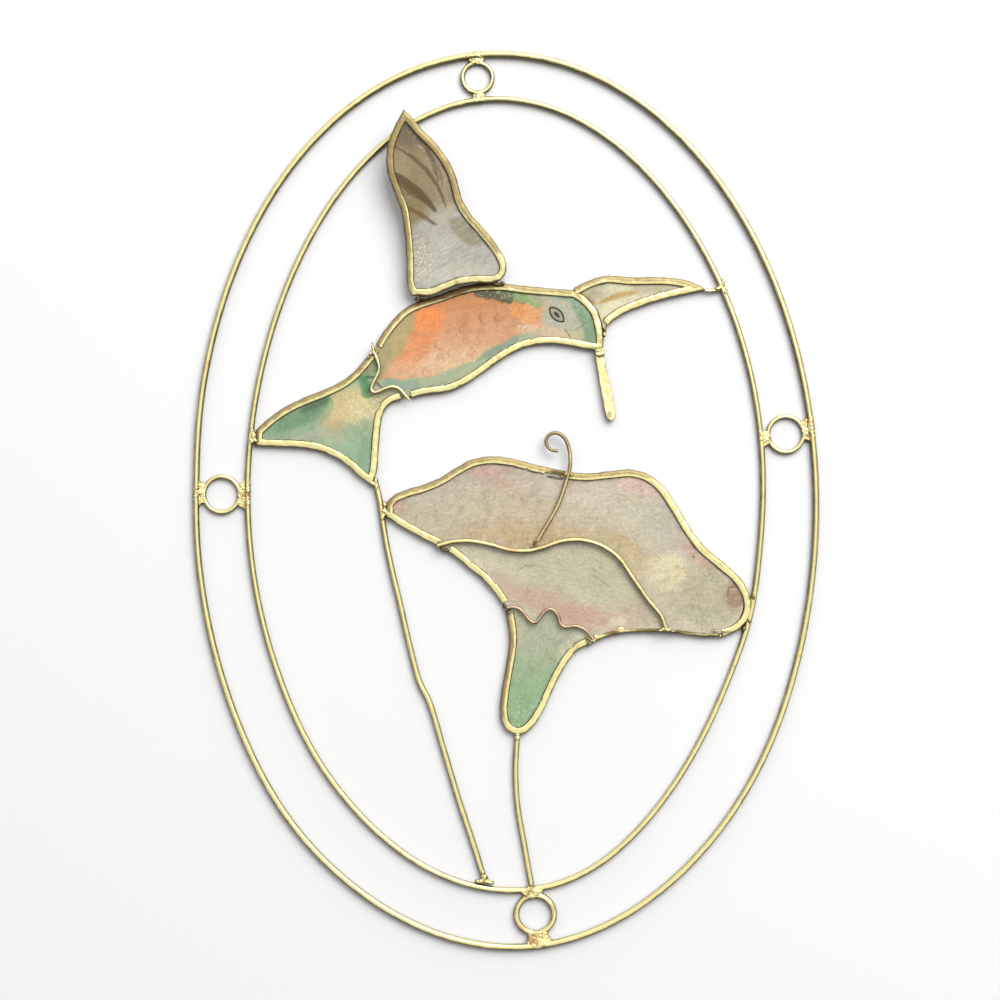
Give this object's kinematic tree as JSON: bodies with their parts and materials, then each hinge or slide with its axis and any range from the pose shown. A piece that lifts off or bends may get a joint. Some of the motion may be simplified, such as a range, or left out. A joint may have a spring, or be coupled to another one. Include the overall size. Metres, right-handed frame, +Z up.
{
  "type": "capiz shell suncatcher",
  "caption": "Hanging oval window ornament: two wire hoops joined by rings, holding a hummingbird and a trumpet flower of shell panes set in brass came.",
  "frame": {"origin": "middle of the top ring's hole, which the piece hangs from", "axes": "+Z up as it hangs, front towards -Y, +X to the right of someone who looks at the front"},
  "size_m": [0.178, 0.0096, 0.2543],
  "materials": {
    "brass": "hand-worked, worn, darker at its edges",
    "tarnished_brass": "tarnished",
    "solder": "lumpy, pitted, bright",
    "body_capiz": "pearly shell, orange to green",
    "tail_capiz": "pearly shell, green to cream",
    "back_wing_capiz": "pearly shell, pale",
    "wing_capiz": "pearly shell, ochre over grey",
    "upper_petal_capiz": "pearly shell, cream, ochre and rose",
    "lower_petal_capiz": "pearly shell, beige, green and rose",
    "calyx_capiz": "pearly shell, green"
  },
  "bodies": {
    "root": {"back_wing_foot_solder": "solder", "back_wing_frame": "brass", "back_wing_link": "brass", "back_wing_shell": "back_wing_capiz", "back_wing_top_solder": "solder", "beak": "brass", "beak_solder": "solder", "body_frame": "brass", "body_shell": "body_capiz", "bottom_ring": "brass", "bottom_ring_inner_solder": "solder", "bottom_ring_outer_solder": "solder", "calyx_frame": "brass", "calyx_left_solder": "solder", "calyx_right_solder": "solder", "calyx_shell": "calyx_capiz", "calyx_wire": "tarnished_brass", "flower_left_solder": "solder", "flower_right_solder": "solder", "flower_stem": "brass", "flower_stem_solder": "solder", "inner_hoop": "brass", "left_ring": "brass", "left_ring_inner_solder": "solder", "left_ring_outer_solder": "solder", "link_solder": "solder", "lower_petal_shell": "lower_petal_capiz", "outer_hoop": "brass", "petal_end_solder": "solder", "petal_frame": "brass", "petal_frame_bottom": "brass", "petal_frame_left": "brass", "petal_joint_solder": "solder", "petal_wire": "brass", "petal_wire_solder": "solder", "right_ring": "brass", "right_ring_inner_solder": "solder", "right_ring_outer_solder": "solder", "stamen_foot_solder": "solder", "stamen_solder": "solder", "stamen_wire": "tarnished_brass", "stem_foot_solder": "solder", "stem_top_solder": "solder", "support_stem": "brass", "tail_frame": "brass", "tail_shell": "tail_capiz", "tail_tip_solder": "solder", "tail_wire": "brass", "tail_wire_solder": "solder", "top_ring": "brass", "top_ring_inner_solder": "solder", "top_ring_outer_solder": "solder", "upper_petal_shell": "upper_petal_capiz", "wing_frame": "brass", "wing_left_solder": "solder", "wing_right_solder": "solder", "wing_shell": "wing_capiz"}
  },
  "joints": []
}
